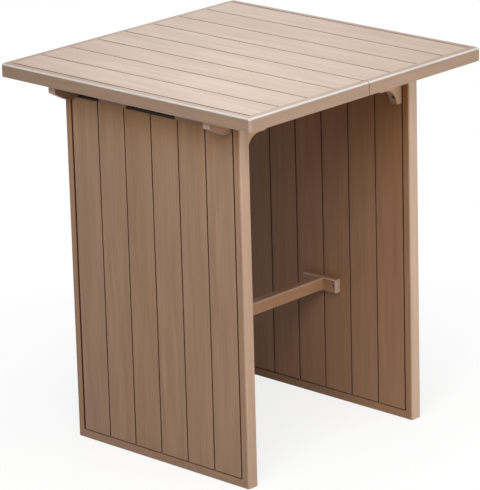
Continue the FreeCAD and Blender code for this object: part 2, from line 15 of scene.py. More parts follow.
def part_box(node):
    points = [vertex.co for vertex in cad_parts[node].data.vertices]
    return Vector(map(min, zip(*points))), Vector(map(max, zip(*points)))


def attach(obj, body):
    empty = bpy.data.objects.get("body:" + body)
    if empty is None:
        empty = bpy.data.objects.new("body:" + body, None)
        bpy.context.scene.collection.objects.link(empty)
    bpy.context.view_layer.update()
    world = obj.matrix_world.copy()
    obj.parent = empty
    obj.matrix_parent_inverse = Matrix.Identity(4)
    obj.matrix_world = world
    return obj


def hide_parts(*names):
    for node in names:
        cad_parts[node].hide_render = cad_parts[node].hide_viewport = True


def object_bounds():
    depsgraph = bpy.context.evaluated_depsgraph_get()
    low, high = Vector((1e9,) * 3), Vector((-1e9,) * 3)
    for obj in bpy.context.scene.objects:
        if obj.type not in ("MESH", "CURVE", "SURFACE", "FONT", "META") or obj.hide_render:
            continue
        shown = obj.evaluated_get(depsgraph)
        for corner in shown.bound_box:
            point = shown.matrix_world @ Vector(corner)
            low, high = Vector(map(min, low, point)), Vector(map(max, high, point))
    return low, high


bl_info = {
    "name": "Outdoor Bar Table",
    "version": (1, 0, 0),
    "blender": (4, 5, 0),
    "location": "3D View > Sidebar > Bar Table",
    "description": "Coats, hardware and studio for a slatted outdoor bar table",
    "category": "Object",
}

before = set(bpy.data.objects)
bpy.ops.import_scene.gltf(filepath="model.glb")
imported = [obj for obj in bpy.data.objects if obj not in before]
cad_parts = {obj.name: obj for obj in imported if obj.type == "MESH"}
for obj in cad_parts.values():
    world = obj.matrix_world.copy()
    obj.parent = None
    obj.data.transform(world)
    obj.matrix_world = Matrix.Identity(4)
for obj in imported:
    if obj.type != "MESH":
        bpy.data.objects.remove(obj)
CAD_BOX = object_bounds()
BODY = "root"
AXES = "XYZ"
WHITE = (1.0, 1.0, 1.0, 1.0)

# Brushed grain: levels of the noises and of the tone that is mixed from them

NOISE_ROUGHNESS = 0.55
BROAD_DETAIL = 1.0
FINE_DETAIL = 2.0
BOARD_SEED_STEP = 7.31  # so far apart that no two boards share their streaks
SIDE_NUMBER_STEP = 50.0  # more than the boards of one side, so the two sides have no number in common
TONE_NOISE = (0.3, 0.7)
TONE_SHARE = 0.5
DASH_NOISE = (0.56, 0.7)
DASH_SHARE = 0.35
DASH_DEPTH = 0.5
PATCH_NOISE = (0.4, 0.7)
PATCH_SHARE = 0.6
DARK_TONES = (0.1, 0.5)
PALE_TONES = (0.5, 0.95)
CAST_TONES = (0.1, 0.9)
CAST_VALUES = (0.9, 1.1)
ROUGH_TONES = (0.2, 0.8)
# Patchiness of the pale rounded edges, which are rubbed coat and painted highlight
WEAR_HIGHLIGHT_NOISE = (0.3, 0.5)
WEAR_HIGHLIGHT_SHARES = (0.7, 1.0)
GRAIN_BUMP = 0.5

# Parts of a unit normal at which a mask of faces or of rounded edges starts and is full

BOTH_FACES = (0.6, 0.85)
OUTER_FACES = (0.6, 1.0)
INNER_FACES = (0.7, 0.9)
EDGE_TURNS = (0.01, 0.1)
UPWARD_TURNS = (0.05, 0.25)

# Mottle of the plain finishes

MOTTLE_DETAIL = 3.0
MOTTLE_SHADE = 0.8
MOTTLE_NOISE = (0.35, 0.65)
MOTTLE_ROUGH_NOISE = (0.3, 0.7)
MOTTLE_ROUGH_SHARES = (0.8, 1.2)
MOTTLE_BUMP = 0.2
MOTTLE_DEPTH = 0.1

# Meshes of the turned hardware

MERGE_DISTANCE = 1e-6
LENGTH_DIGITS = 5
SHARP_ANGLE = math.radians(35)
TURNED_SIDES = 24
RIM_SEGMENTS = 4
SOCKET_SIDES = 6
TIP_BEVEL_SHARE = 0.2
UP = Vector((0, 0, 1))
DOWN = -UP

# Softboxes, each with its place and the side of its square

SOFTBOXES = {
    "front": ((3.2, -1.6, 3.6), 2.0),
    "low": ((4.0, 0.5, 0.9), 1.5),
    "side": ((3.6, 3.4, 1.4), 2.0),
    "fill": ((1.9, -3.2, 3.2), 2.4),
    "overhead": ((0.3, 0.0, 4.2), 2.6),
    "sheen": ((-3.6, 3.8, 3.5), 1.4),
}
AIMED_AT_TOP = ("overhead", "sheen")

# Floor and camera

FULL_SHADOW_SHARE = 1 / 3  # of the shadow's reach, within which it doesn't fade
VIEW_DISTANCE = 100


def screen(red, green, blue):
    """A linear colour from screen levels of 0 to 255."""
    def linear(level):
        share = level / 255
        return share / 12.92 if share <= 0.04045 else ((share + 0.055) / 1.055) ** 2.4
    return tuple(linear(level) for level in (red, green, blue))


def nodes_named(*starts):
    """The CAD nodes whose names start with any of these words."""
    return sorted(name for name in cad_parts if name.startswith(starts))


def add_object(name, data):
    """A new object in the scene, at the origin."""
    thing = bpy.data.objects.new(name, data)
    bpy.context.scene.collection.objects.link(thing)
    return thing


# Sizes and colours that a user would change

def length_property(name, description, default):
    return FloatProperty(name=name, description=description, default=default, min=0, unit="LENGTH")


def share_property(name, description, default):
    return FloatProperty(
        name=name, description=description, default=default, min=0, max=1, subtype="FACTOR"
    )


def colour_property(name, description, default):
    return FloatVectorProperty(
        name=name, description=description, default=default, min=0, max=1, subtype="COLOR"
    )


def power_property(name, description, default):
    return FloatProperty(name=name, description=description, default=default, min=0, unit="POWER")


def camera_property(name, description, default):
    return FloatProperty(name=name, description=description, default=default, min=1, unit="CAMERA")


def angle_property(name, description, degrees):
    return FloatProperty(
        name=name, description=description, default=math.radians(degrees), unit="ROTATION"
    )


class BarTableCoat(bpy.types.PropertyGroup):
    """The brushed wood-grain coat on the aluminium."""

    streak_colour: colour_property("Streak Colour", "Darkest brushed streaks", screen(145, 113, 89))
    main_colour: colour_property("Main Colour", "Most of the coat", screen(156, 123, 97))
    pale_colour: colour_property("Pale Colour", "Palest brushed streaks", screen(167, 133, 107))
    cool_colour: colour_property("Cool Colour", "Greyer patches of the coat", screen(152, 124, 101))
    # Painted shade: the walls of grooves, seams and hollows take this dark colour in place of the shade
    # inside them
    groove_shade_colour: colour_property("Groove Colour", "Walls of the grooves between slats", screen(88, 44, 25))
    # Rubbed coat and painted highlight: rounded edges turn to this pale colour, upper edges most, where the
    # highlight falls
    edge_wear_and_highlight_colour: colour_property("Edge Colour", "Thin coat on rounded edges", screen(197, 195, 192))
    edge_wear_and_highlight: share_property("Edge Wear", "How far rounded upright edges turn to the edge colour", 0.15)
    brow_wear_and_highlight: share_property("Brow Wear", "The same on the upper edges of the top", 0.9)
    tee_wear_and_highlight: share_property("Tee Wear", "The same on the upper edges of the stretcher's end blocks", 0.75)
    stretcher_wear_and_highlight: share_property("Stretcher Wear", "The same on the stretcher's upper edges", 0.3)
    # Painted sheen and shade: the frame takes a greyer, slightly darker cast in place of how light falls on
    # it
    frame_sheen_colour: colour_property("Frame Colour", "Greyer cast of the frame's coat", screen(143, 125, 111))
    frame_sheen_share: share_property("Frame Share", "How far the frame takes its cast", 0.45)
    # Painted sheen: the top's slats take this paler, whiter cast in place of their sheen
    top_sheen_colour: colour_property("Pale Cast", "Paler cast of the weathered top", screen(192, 175, 159))
    top_sheen_share: share_property("Top Share", "How far the slats of the top take the pale cast", 0.4)
    # Painted light: a paler cast on the outer end faces of stiles, blocks and caps, where light falls on
    # them; the right panel's stiles take more than the left's
    lit_end_colour: colour_property("Worn Colour", "Worn ends of panels, blocks and caps", screen(190, 161, 140))
    left_stile_light_share: share_property("Left Stile Share", "How worn the ends of the left panel are", 0.4)
    right_stile_light_share: share_property("Right Stile Share", "How worn the ends of the right panel are", 0.9)
    block_light_share: share_property("Block Share", "How worn the ends of blocks and caps are", 1.0)
    # Painted shade: faces turned to the inside of the table take a darker, warmer cast, as shade with its
    # warm bounce light
    inner_shade_colour: colour_property("Shelter Colour", "Warm cast of sheltered faces", screen(145, 102, 71))
    inner_shade_share: share_property("Shelter Share", "How far sheltered faces take their cast", 0.55)
    stile_inner_shade_share: share_property("Stile Shelter Share", "How far the stiles take that cast", 0.35)
    # Painted light: close under the top the panels turn warmer and brighter, as warm light bounced from the
    # top's underside
    eaves_bounce_warmth: share_property("Eaves Warmth", "How much warmer the panels are under the top", 0.36)
    inner_bounce_warmth: share_property("Inner Eaves Warmth", "The same on the panels' insides", 0.27)
    eaves_bounce_glow: share_property("Eaves Glow", "How much brighter the panels are under the top", 0.24)
    eaves_bounce_depth: length_property("Eaves Depth", "How far down the panels' outsides this fades", 0.22)
    inner_bounce_depth: length_property("Inner Eaves Depth", "The same on the panels' insides", 0.6)
    # Painted light: a warmer cast that stands in for light reaching the stretcher, its end blocks and the
    # battens under the top
    stretcher_light_colour: colour_property(
        "Stretcher Colour", "Warm cast of the stretcher, its end blocks and the battens", screen(161, 117, 85)
    )
    stretcher_light_share: share_property("Stretcher Share", "How far these take the warm cast", 0.7)
    # Painted shade: the beams and their caps under the top take this darker cast
    cap_shade_colour: colour_property("Cap Colour", "Darker cast of the beams and their caps", screen(116, 80, 53))
    cap_shade_share: share_property("Cap Share", "How far the beams and their caps take that cast", 0.6)
    # Painted light and shade: the caps' end faces stay pale, and deeper than this their hollows take the dark
    # groove colour
    cap_rim: length_property("Cap Rim", "How deep the pale ends of the caps reach", 0.004)
    # Painted shade: within this reach of the middle, the walls of the frame's seam take the dark groove
    # colour
    seam_reach: length_property("Seam Reach", "How far from the middle the seam's walls are dark", 0.01)
    # Painted light: the braces take this paler cast in place of the light falling on them
    brace_light_colour: colour_property("Brace Colour", "Pale cast of the braces", screen(184, 146, 115))
    brace_light_share: share_property("Brace Share", "How far the braces take their cast", 0.9)
    board_variation: share_property("Board Variation", "Spread of tone from board to board", 0.05)
    band_width: length_property("Band Width", "Width of the broad tonal bands", 0.018)
    band_length: length_property("Band Length", "Length of the broad tonal bands", 0.3)
    streak_width: length_property("Streak Width", "Width of the brushed streaks", 0.004)
    streak_length: length_property("Streak Length", "Length of the brushed streaks", 0.14)
    pore_width: length_property("Pore Width", "Width of the fine dark dashes", 0.0012)
    pore_length: length_property("Pore Length", "Length of the fine dark dashes", 0.03)
    patch_width: length_property("Patch Width", "Width of the greyer patches", 0.05)
    patch_length: length_property("Patch Length", "Length of the greyer patches", 0.35)
    relief: length_property("Relief", "Depth of the brushed grain", 0.0002)
    gloss_roughness: share_property("Smooth Roughness", "Roughness of the pale streaks", 0.39)
    grain_roughness: share_property("Grain Roughness", "Roughness of the dark streaks", 0.48)
    groove_roughness: share_property("Groove Roughness", "Roughness of the grooves' walls", 0.95)
    mirror_level: share_property("Mirror Level", "Strength of reflections seen straight on", 0.2)


class BarTableHardware(bpy.types.PropertyGroup):
    """Bolts, foot glides, the top bars, whose black is painted shade, and the bare sleeves."""

    steel_colour: colour_property("Steel Colour", "Zinc-plated bolts", screen(146, 143, 138))
    bronze_colour: colour_property("Bronze Colour", "Dark-plated screws", screen(92, 66, 48))
    nylon_colour: colour_property("Nylon Colour", "Foot glides", screen(46, 44, 42))
    # Painted shade: the bars' black stands in for the shade in the slot under the top
    bar_shade_colour: colour_property("Bar Colour", "Flat bars along the panel tops", screen(26, 24, 23))
    sleeve_colour: colour_property("Sleeve Colour", "Bare aluminium sleeves", screen(190, 190, 188))
    bolt_head_height: length_property("Bolt Head Height", "Height of a button head", 0.0033)
    bolt_shank_diameter: length_property("Bolt Shank", "Diameter of a bolt's shank", 0.006)
    bolt_rim_radius: length_property("Bolt Rim Radius", "Rounding of a button head", 0.0021)
    bolt_socket_width: length_property("Bolt Socket", "Hex socket across its flats", 0.004)
    bolt_socket_depth: length_property("Bolt Socket Depth", "Depth of the hex socket", 0.0018)
    glide_height: length_property("Glide Height", "Height of a glide under the rail", 0.001)
    glide_stem_diameter: length_property("Glide Stem", "Diameter of a glide's stem", 0.008)
    glide_rim_radius: length_property("Glide Rim Radius", "Rounding of a glide's foot", 0.0006)


class BarTableStudio(bpy.types.PropertyGroup):
    """Floor, lights and camera."""

    floor_size: length_property("Floor Size", "Side of the square floor", 40)
    floor_colour: colour_property("Floor Colour", "Pale floor", (0.5, 0.5, 0.5))
    shadow_share: share_property("Shadow Share", "How much of the shadow shows on the white floor", 0.2)
    shadow_reach: length_property("Shadow Reach", "Distance at which the floor is plain white", 1.5)
    ambient: share_property("Ambient", "Soft light from all round", 0.04)
    front_power: power_property("Front Power", "High softbox in front", 33)
    low_power: power_property("Low Power", "Low softbox in front", 59)
    side_power: power_property("Side Power", "Softbox on the right", 46)
    fill_power: power_property("Fill Power", "High softbox on the left", 154)
    overhead_power: power_property("Overhead Power", "Softbox above", 63)
    sheen_power: power_property("Sheen Power", "Softbox behind, which the top mirrors", 41)
    lens: camera_property("Lens", "Focal length", 245.57)
    sensor: camera_property("Sensor", "Width of the sensor", 36)
    camera_place: FloatVectorProperty(
        name="Camera Place", description="Where the camera stands",
        default=(5.9954, -6.3439, 3.3056), subtype="TRANSLATION", unit="LENGTH",
    )
    camera_azimuth: angle_property("Azimuth", "Turn about the vertical", 43.487)
    camera_elevation: angle_property("Elevation", "Height above the horizon", 17.635)
    camera_roll: angle_property("Roll", "Tilt of the picture", -1.543)


# Material nodes

def add_node(tree, kind, options=None, inputs=None):
    """A node with its options set and its inputs linked to other nodes' sockets or set to constants."""
    node = tree.nodes.new(kind)
    for option, value in (options or {}).items():
        setattr(node, option, value)
    for name, value in (inputs or {}).items():
        if isinstance(value, bpy.types.NodeSocket):
            tree.links.new(value, node.inputs[name])
        else:
            node.inputs[name].default_value = value
    return node


def calculate(tree, operation, first, second=0.0):
    """A maths node's result."""
    return add_node(tree, "ShaderNodeMath", {"operation": operation}, {0: first, 1: second}).outputs[0]


def remap(tree, value, low, high, new_low=0.0, new_high=1.0):
    """A value carried from one range to another, and kept within it."""
    inputs = {0: value, 1: low, 2: high, 3: new_low, 4: new_high}
    return add_node(tree, "ShaderNodeMapRange", None, inputs).outputs[0]


def between(tree, share, none, full):
    """A number that goes from one value to another as a share goes from 0 to 1."""
    return remap(tree, share, 0.0, 1.0, none, full)


def axis_part(tree, vector, axis):
    """A vector's part along one axis."""
    return add_node(tree, "ShaderNodeSeparateXYZ", None, {0: vector}).outputs[AXES.index(axis)]


def surface_normal(tree):
    return add_node(tree, "ShaderNodeNewGeometry").outputs["Normal"]


def object_place(tree):
    return add_node(tree, "ShaderNodeTexCoord").outputs["Object"]


def opaque(colour):
    return (*colour, 1.0)


def blend_colours(tree, share, first, second):
    """The first colour, with a share of the second."""
    mixed = add_node(tree, "ShaderNodeMix", {"data_type": "RGBA"}, {0: share, 6: first, 7: second})
    return mixed.outputs[2]


def retint(tree, colour, value, saturation=1.0):
    """A colour with its value and saturation multiplied."""
    inputs = {"Value": value, "Saturation": saturation, "Color": colour}
    return add_node(tree, "ShaderNodeHueSaturation", None, inputs).outputs[0]


def blend_shaders(tree, share, first, second):
    """The first shader node, with a share of the second."""
    return add_node(
        tree, "ShaderNodeMixShader", None, {0: share, 1: first.outputs[0], 2: second.outputs[0]}
    )


def empty_tree(owner):
    """The cleared node tree of a new material or world."""
    owner.use_nodes = True
    owner.node_tree.nodes.clear()
    return owner.node_tree


def new_material(name):
    """An empty surface material, with its tree and shader."""
    material = bpy.data.materials.new(name)
    tree = empty_tree(material)
    shader = add_node(tree, "ShaderNodeBsdfPrincipled")
    add_node(tree, "ShaderNodeOutputMaterial", None, {"Surface": shader.outputs[0]})
    return material, tree, shader


def fill_shader(tree, shader, colour, roughness, height, strength, distance):
    """Links a colour, a roughness and the bumps of a height to a surface shader."""
    bump = add_node(
        tree, "ShaderNodeBump", None, {"Strength": strength, "Distance": distance, "Height": height}
    )
    tree.links.new(colour, shader.inputs["Base Color"])
    tree.links.new(roughness, shader.inputs["Roughness"])
    tree.links.new(bump.outputs[0], shader.inputs["Normal"])


def stretched_noise(tree, place, seed, along, width, length, detail):
    """Noise drawn out along one axis, as streaks of about this width and length."""
    scale = [1 / width] * 3
    scale[AXES.index(along)] = 1 / length
    mapped = add_node(tree, "ShaderNodeMapping", None, {"Vector": place, "Scale": scale})
    inputs = {
        "Vector": mapped.outputs[0], "W": seed, "Scale": 1.0, "Detail": detail, "Roughness": NOISE_ROUGHNESS,
    }
    return add_node(tree, "ShaderNodeTexNoise", {"noise_dimensions": "4D"}, inputs).outputs[0]


def rounded_edges(tree):
    """Near 1 on rounded edges, whose normals point between the axes, and 0 on flat faces.

    The second value is near 1 where the edge faces up, and 0 where it is upright or faces down.
    """
    normal = surface_normal(tree)
    size = add_node(tree, "ShaderNodeVectorMath", {"operation": "ABSOLUTE"}, {0: normal}).outputs[0]
    parts = add_node(tree, "ShaderNodeSeparateXYZ", None, {0: size}).outputs
    largest = calculate(tree, "MAXIMUM", calculate(tree, "MAXIMUM", parts[0], parts[1]), parts[2])
    edge = remap(tree, calculate(tree, "SUBTRACT", 1.0, largest), *EDGE_TURNS)
    return edge, remap(tree, axis_part(tree, normal, "Z"), *UPWARD_TURNS)


def mitred_place(tree, place):
    """The place with X along whichever side of the square frame it is on, split at the mitres."""
    parts = add_node(tree, "ShaderNodeSeparateXYZ", None, {0: place}).outputs
    turned = add_node(tree, "ShaderNodeCombineXYZ", None, {0: parts[1], 1: parts[0], 2: parts[2]})
    across = calculate(tree, "ABSOLUTE", parts[0])
    on_end = calculate(tree, "GREATER_THAN", across, calculate(tree, "ABSOLUTE", parts[1]))
    inputs = {0: on_end, 4: place, 5: turned.outputs[0]}
    return add_node(tree, "ShaderNodeMix", {"data_type": "VECTOR"}, inputs).outputs[1]


def boards_across(axis, first, second):
    """The axis across boards side by side, the first board's edge and their pitch, from two boards' boxes."""
    number = AXES.index(axis)
    pitch = second[0][number] - first[0][number]
    half_gap = (second[0][number] - first[1][number]) / 2
    return axis, first[0][number] - half_gap, pitch


def board_number(tree, place, across, first_edge, pitch):
    """Counts the boards that lie side by side along one axis, apart on each side of the middle of Y."""
    steps = calculate(tree, "SUBTRACT", axis_part(tree, place, across), first_edge)
    number = calculate(tree, "FLOOR", calculate(tree, "DIVIDE", steps, pitch))
    side = calculate(tree, "SIGN", axis_part(tree, place, "Y"))
    return calculate(tree, "ADD", number, calculate(tree, "MULTIPLY", side, SIDE_NUMBER_STEP))


def faces_along(tree, place, axis, which, reach=0.0):
    """Near 1 on faces whose normals point along an axis, and 0 on the others.

    which is "both", "outer" for faces that look away from the middle of the table, "inner" for those
    that look towards it, or "within" for those no further than reach from the middle plane.
    """
    part = axis_part(tree, surface_normal(tree), axis)
    either = remap(tree, calculate(tree, "ABSOLUTE", part), *BOTH_FACES)
    if which == "both":
        return either
    side = axis_part(tree, place, axis)
    if which == "within":
        near = calculate(tree, "LESS_THAN", calculate(tree, "ABSOLUTE", side), reach)
        return calculate(tree, "MULTIPLY", either, near)
    outward = calculate(tree, "MULTIPLY", part, calculate(tree, "SIGN", side))
    if which == "outer":
        return remap(tree, outward, *OUTER_FACES)
    return remap(tree, calculate(tree, "MULTIPLY", outward, -1.0), *INNER_FACES)


def under_top(tree, place, axis, which, depth):
    """Near 1 on the faces that faces_along finds, close under the top, fading to 0 at this depth below it."""
    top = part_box("top_frame_left")[0].z
    near = remap(tree, axis_part(tree, place, "Z"), top - depth, top)
    fading = calculate(tree, "MULTIPLY", near, near)
    return calculate(tree, "MULTIPLY", fading, faces_along(tree, place, axis, which))


def brushed_noises(tree, place, seed, along):
    """The tone of the brushed grain, its streaks, its greyer patches and its fine dark dashes."""
    coat = bpy.context.scene.bar_table_coat

    def brushed(width, length, detail):
        return stretched_noise(tree, place, seed, along, width, length, detail)

    bands = brushed(coat.band_width, coat.band_length, BROAD_DETAIL)
    streaks = brushed(coat.streak_width, coat.streak_length, FINE_DETAIL)
    pores = brushed(coat.pore_width, coat.pore_length, BROAD_DETAIL)
    grey = brushed(coat.patch_width, coat.patch_length, FINE_DETAIL)
    band_tone = remap(tree, bands, *TONE_NOISE, 0.0, TONE_SHARE)
    streak_tone = remap(tree, streaks, *TONE_NOISE, 0.0, TONE_SHARE)
    tone = calculate(tree, "ADD", band_tone, streak_tone)
    patches = remap(tree, grey, *PATCH_NOISE, 0.0, PATCH_SHARE)
    dashes = remap(tree, pores, *DASH_NOISE)
    return tone, streaks, patches, dashes


def brushed_colour(tree, tone, patches, dashes):
    """The coat's colours blended by its tone, with the greyer patches and the dark dashes over them."""
    coat = bpy.context.scene.bar_table_coat
    dark = opaque(coat.streak_colour)
    colour = blend_colours(tree, remap(tree, tone, *DARK_TONES), dark, opaque(coat.main_colour))
    colour = blend_colours(tree, remap(tree, tone, *PALE_TONES), colour, opaque(coat.pale_colour))
    colour = blend_colours(tree, patches, colour, opaque(coat.cool_colour))
    return blend_colours(tree, calculate(tree, "MULTIPLY", dashes, DASH_SHARE), colour, dark)


def vary_boards(tree, colour, board):
    """A colour that is a little paler or darker on each board."""
    chance = add_node(tree, "ShaderNodeTexWhiteNoise", {"noise_dimensions": "1D"}, {"W": board}).outputs[0]
    spread = bpy.context.scene.bar_table_coat.board_variation
    value = between(tree, chance, 1 - spread / 2, 1 + spread / 2)
    return retint(tree, colour, value, between(tree, chance, 1 + spread, 1 - spread))


def wear_and_highlight_edges(tree, colour, streaks, brow_wear_and_highlight):
    """A colour that turns pale on rounded edges, as rubbed coat and painted highlight, most where the edges
    face up.
    """
    coat = bpy.context.scene.bar_table_coat
    edge, upward = rounded_edges(tree)
    # Painted highlight with rubbed coat, strongest on edges that face up
    wear_and_highlight = between(tree, upward, coat.edge_wear_and_highlight, max(brow_wear_and_highlight, coat.edge_wear_and_highlight))
    patchy = calculate(tree, "MULTIPLY", wear_and_highlight, remap(tree, streaks, *WEAR_HIGHLIGHT_NOISE, *WEAR_HIGHLIGHT_SHARES))
    worn = calculate(tree, "MULTIPLY", edge, patchy)
    return blend_colours(tree, worn, colour, opaque(coat.edge_wear_and_highlight_colour))


def coat_material(
    name, along, boards=None, mitred=False, cast=None, brow_wear_and_highlight=0.0, faces=(), grooves=(), eaves=()
):
    """A brown coat with brushed grain along one axis.

    boards gives the axis across boards that lie side by side, the first board's edge and their pitch.
    cast gives a colour that the coat leans towards, and how far; the casts in use paint light, shade and
    sheen. The brow share gives how far upper edges turn pale, as rubbed coat and painted highlight.
    faces lists casts of some faces alone, such as painted light on end faces and painted shade on inner
    faces, each as an axis, which faces along it, a colour and a share.
    grooves lists the walls of grooves, seams and hollows, which take the dark groove colour as painted shade
    and are dulled, each as an axis, which faces along it and any reach.
    eaves lists faces that take painted warm bounce light close under the top, warmer and brighter, each as an
    axis, which along it, a depth and a warmth.
    """
    coat = bpy.context.scene.bar_table_coat
    material, tree, shader = new_material(name)
    place = object_place(tree)
    board = board_number(tree, place, *boards) if boards else 0.0
    grain = mitred_place(tree, place) if mitred else place
    seed = calculate(tree, "MULTIPLY", board, BOARD_SEED_STEP)
    tone, streaks, patches, dashes = brushed_noises(tree, grain, seed, along)
    colour = brushed_colour(tree, tone, patches, dashes)
    if cast:
        cast_colour, cast_share = cast
        colour = blend_colours(tree, cast_share, colour, opaque(cast_colour))
    colour = vary_boards(tree, colour, board)
    for axis, which, face_colour, share in faces:
        chosen = calculate(tree, "MULTIPLY", faces_along(tree, place, axis, which), share)
        grained = retint(tree, opaque(face_colour), remap(tree, tone, *CAST_TONES, *CAST_VALUES))
        colour = blend_colours(tree, chosen, colour, grained)
    # Painted warm bounce light on faces close under the top
    for axis, which, depth, warmth in eaves:
        near = under_top(tree, place, axis, which, depth)
        glow = between(tree, near, 1.0, 1 + coat.eaves_bounce_glow)
        colour = retint(tree, colour, glow, between(tree, near, 1.0, 1 + warmth))
    roughness = remap(tree, tone, *ROUGH_TONES, coat.grain_roughness, coat.gloss_roughness)
    # Painted shade: groove walls take the dark colour of the shade inside them
    for axis, *which in grooves:
        wall = faces_along(tree, place, axis, *which)
        colour = blend_colours(tree, wall, colour, opaque(coat.groove_shade_colour))
        roughness = between(tree, wall, roughness, coat.groove_roughness)
    colour = wear_and_highlight_edges(tree, colour, streaks, brow_wear_and_highlight)
    height = calculate(tree, "SUBTRACT", tone, calculate(tree, "MULTIPLY", dashes, DASH_DEPTH))
    fill_shader(tree, shader, colour, roughness, height, GRAIN_BUMP, coat.relief)
    shader.inputs["Specular IOR Level"].default_value = coat.mirror_level
    return material


def mottled_material(name, colour, metallic, roughness, grain):
    """A plain finish with a fine mottle in its tone and roughness, from grains of this size."""
    material, tree, shader = new_material(name)
    inputs = {"Vector": object_place(tree), "Scale": 1 / grain, "Detail": MOTTLE_DETAIL}
    noise = add_node(tree, "ShaderNodeTexNoise", None, inputs).outputs[0]
    dark = opaque([MOTTLE_SHADE * part for part in colour])
    base = blend_colours(tree, remap(tree, noise, *MOTTLE_NOISE), dark, opaque(colour))
    smooth, rough = (min(1.0, share * roughness) for share in MOTTLE_ROUGH_SHARES)
    mottled = remap(tree, noise, *MOTTLE_ROUGH_NOISE, smooth, rough)
    fill_shader(tree, shader, base, mottled, noise, MOTTLE_BUMP, MOTTLE_DEPTH * grain)
    shader.inputs["Metallic"].default_value = metallic
    return material


def give_finish(names, material):
    """Puts a material in every slot of these CAD nodes."""
    for name in names:
        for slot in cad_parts[name].material_slots:
            slot.material = material


# Meshes of the turned hardware

def solid_boxes(node):
    """The lowest and highest corner of each separate solid of a CAD node."""
    copy = bmesh.new()
    copy.from_mesh(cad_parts[node].data)
    bmesh.ops.remove_doubles(copy, verts=copy.verts, dist=MERGE_DISTANCE)
    waiting = set(copy.verts)
    boxes = []
    while waiting:
        solid = set()
        reached = [waiting.pop()]
        while reached:
            vertex = reached.pop()
            solid.add(vertex)
            for edge in vertex.link_edges:
                other = edge.other_vert(vertex)
                if other in waiting:
                    waiting.remove(other)
                    reached.append(other)
        points = [vertex.co for vertex in solid]
        boxes.append((Vector(map(min, *points)), Vector(map(max, *points))))
    copy.free()
    return sorted(boxes, key=lambda box: tuple(box[0]))


def facing(shape, direction):
    """The face that lies furthest along a direction."""
    return max(shape.faces, key=lambda face: face.calc_center_median().dot(direction))


def sink(shape, face, depth):
    """Extrudes a face along Z by this depth, and returns the face at its end."""
    moved = bmesh.ops.extrude_face_region(shape, geom=[face])["geom"]
    verts = [item for item in moved if isinstance(item, bmesh.types.BMVert)]
    bmesh.ops.translate(shape, verts=verts, vec=(0, 0, depth))
    return next(item for item in moved if isinstance(item, bmesh.types.BMFace))


def round_rim(shape, face, radius, segments):
    """Bevels the edges round a face."""
    bmesh.ops.bevel(
        shape, geom=list(face.edges), offset=radius, segments=segments, profile=0.5,
        affect="EDGES", material=-1,
    )


def turned_stud(head_radius, head_height, rim_radius, stem_radius, stem_length):
    """A round head on Z from 0 up, with its upper rim rounded, on a stem that runs down from 0."""
    shape = bmesh.new()
    bmesh.ops.create_cone(
        shape, cap_ends=True, segments=TURNED_SIDES, radius1=head_radius, radius2=head_radius,
        depth=head_height, matrix=Matrix.Translation((0, 0, head_height / 2)),
    )
    round_rim(shape, facing(shape, UP), rim_radius, RIM_SEGMENTS)
    under = facing(shape, DOWN)
    bmesh.ops.inset_region(shape, faces=[under], thickness=head_radius - stem_radius)
    tip = sink(shape, under, -stem_length)
    round_rim(shape, tip, stem_radius * TIP_BEVEL_SHARE, 1)
    return shape


def cut_hex_socket(shape, width, depth):
    """Sinks a hex socket into the top of a turned stud."""
    top = facing(shape, UP)
    top_radius = max(vertex.co.xy.length for vertex in top.verts)
    bmesh.ops.inset_region(shape, faces=[top], thickness=top_radius - width / math.sqrt(3))
    corner = 2 * math.pi / SOCKET_SIDES
    for vertex in top.verts:
        turn = math.atan2(vertex.co.y, vertex.co.x) % corner - corner / 2
        vertex.co.xy *= width / 2 / math.cos(turn) / vertex.co.xy.length
    sink(shape, top, -depth)


def repeat_shape(name, shape, places):
    """One object that holds the shape at each of these places."""
    pattern = bpy.data.meshes.new(name)
    shape.to_mesh(pattern)
    shape.free()
    whole = bmesh.new()
    for place in places:
        before = len(whole.verts)
        whole.from_mesh(pattern)
        whole.verts.ensure_lookup_table()
        bmesh.ops.transform(whole, matrix=place, verts=whole.verts[before:])
    bmesh.ops.recalc_face_normals(whole, faces=whole.faces)
    for face in whole.faces:
        face.smooth = True
    for edge in whole.edges:
        edge.smooth = edge.calc_face_angle(0) < SHARP_ANGLE
    whole.to_mesh(pattern)
    whole.free()
    return add_object(name, pattern)


def stand_for(piece, node, material):
    """Dresses a new piece, and puts it in the place of a CAD node."""
    piece.data.materials.append(material)
    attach(piece, BODY)
    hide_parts(node)


def bolt_place(box):
    """Turns a bolt's Z to its axis, with the head towards the middle of the table or the floor."""
    low, high = box
    size = high - low
    middle = (low + high) / 2
    head = bpy.context.scene.bar_table_hardware.bolt_head_height
    if size.z > size.y:
        seat = Vector((middle.x, middle.y, low.z + head))
        direction = DOWN
    else:
        side = math.copysign(1, middle.y)
        seat = Vector((middle.x, middle.y - side * (size.y / 2 - head), middle.z))
        direction = Vector((0, -side, 0))
    return Matrix.Translation(seat) @ direction.to_track_quat("Z", "X").to_matrix().to_4x4()


def make_bolts(node, material):
    """Button-head bolts with hex sockets, in the place of a CAD node of plain ones."""
    hardware = bpy.context.scene.bar_table_hardware
    boxes = solid_boxes(node)
    sizes = [high - low for low, high in boxes]
    length = min(round(max(size), LENGTH_DIGITS) for size in sizes)
    head_radius = min(sizes[0]) / 2
    head = hardware.bolt_head_height
    shape = turned_stud(
        head_radius, head, hardware.bolt_rim_radius, hardware.bolt_shank_diameter / 2, length - head
    )
    cut_hex_socket(shape, hardware.bolt_socket_width, hardware.bolt_socket_depth)
    piece = repeat_shape(f"{node}_button_head", shape, [bolt_place(box) for box in boxes])
    stand_for(piece, node, material)


